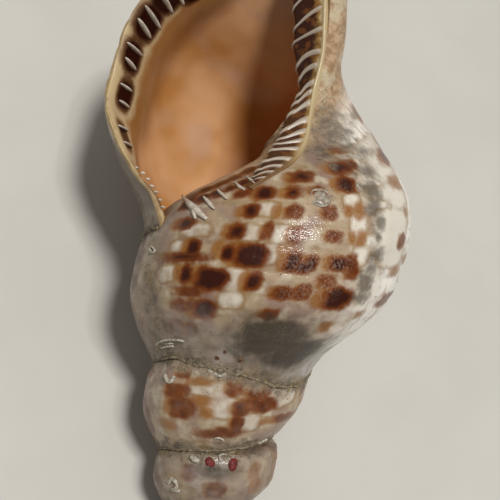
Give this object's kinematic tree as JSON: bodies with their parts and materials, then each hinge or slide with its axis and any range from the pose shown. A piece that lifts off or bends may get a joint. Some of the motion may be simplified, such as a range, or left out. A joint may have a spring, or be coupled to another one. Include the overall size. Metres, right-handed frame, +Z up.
{
  "type": "triton's trumpet sea shell",
  "caption": "Large spindle-shaped spiral sea snail shell lying on its back, with a wide open aperture, a flared toothed outer lip, a ridged inner lip and a tapering spire.",
  "frame": {"origin": "middle of the bounding box's base, on the surface the shell lies on", "axes": "+Z up, out of the aperture; +Y along the shell towards the siphonal canal, the apex at -Y; the outer lip at -X"},
  "size_m": [0.1484, 0.2954, 0.1173],
  "materials": {
    "shell": "satin"
  },
  "bodies": {
    "root": {"triton_shell": "shell"}
  },
  "joints": []
}
